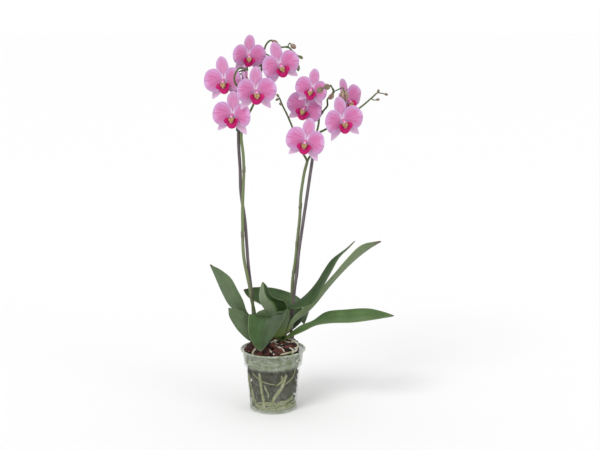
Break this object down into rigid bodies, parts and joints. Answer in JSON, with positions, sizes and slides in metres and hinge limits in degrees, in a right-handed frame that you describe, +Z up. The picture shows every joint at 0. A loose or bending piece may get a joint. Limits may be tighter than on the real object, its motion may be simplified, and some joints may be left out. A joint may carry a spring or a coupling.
{
  "type": "potted orchid",
  "caption": "Moth orchid with veined pink flowers on staked, forked spikes above arching strap leaves, in a clear tapered nursery pot of bark and roots.",
  "frame": {"origin": "centre of the pot's flat underside", "axes": "+Z up along the plant's height, +X to the side where the long low leaf points, -Y to the side that the flowers face"},
  "size_m": [0.3418, 0.1266, 0.6897],
  "materials": {
    "clear_plastic": "clear moulded polypropylene, slightly hazed",
    "bark": "coarse damp pine bark chips",
    "root": "matt silvery-green living root",
    "leaf": "waxy thick leaf, satin sheen",
    "petal": "soft satin, veined pink to lilac",
    "lip": "waxy magenta with a spotted throat",
    "bud": "smooth green bud flushed pink-brown",
    "stem": "smooth satin stem flushed with purple",
    "stake": "dark purple-brown extruded rod",
    "clip": "moulded green clip"
  },
  "bodies": {
    "root": {"bark_medium": "bark", "bud_left_arch": "bud", "bud_left_end": "bud", "bud_left_inner": "bud", "bud_left_low": "bud", "bud_left_tip": "bud", "bud_right_big": "bud", "bud_right_front": "bud", "bud_right_inner": "bud", "bud_right_upper": "bud", "clear_pot": "clear_plastic", "crown": "leaf", "flower_left_a": "petal", "flower_left_b": "petal", "flower_left_c": "petal", "flower_left_d": "petal", "flower_left_e": "petal", "flower_left_f": "petal", "flower_right_g": "petal", "flower_right_h": "petal", "flower_right_i": "petal", "flower_right_j": "petal", "flower_right_k": "petal", "leaf_back": "leaf", "leaf_far_left": "leaf", "leaf_folded": "leaf", "leaf_front": "leaf", "leaf_low_left": "leaf", "leaf_right_inner": "leaf", "leaf_right_low": "leaf", "leaf_right_outer": "leaf", "leaf_small": "leaf", "left_branch_front": "stem", "left_branch_top": "stem", "left_clip": "clip", "left_spike": "stem", "left_stake": "stake", "lip_left_a": "lip", "lip_left_b": "lip", "lip_left_c": "lip", "lip_left_d": "lip", "lip_left_e": "lip", "lip_left_f": "lip", "lip_right_g": "lip", "lip_right_h": "lip", "lip_right_i": "lip", "lip_right_j": "lip", "lip_right_k": "lip", "right_branch_left": "stem", "right_branch_main": "stem", "right_branch_side": "stem", "right_clip": "clip", "right_spike": "stem", "right_stake": "stake", "root_base_back": "root", "root_base_front": "root", "root_front_left": "root", "root_front_right": "root", "surface_root_left": "root", "surface_root_right": "root"}
  },
  "joints": []
}
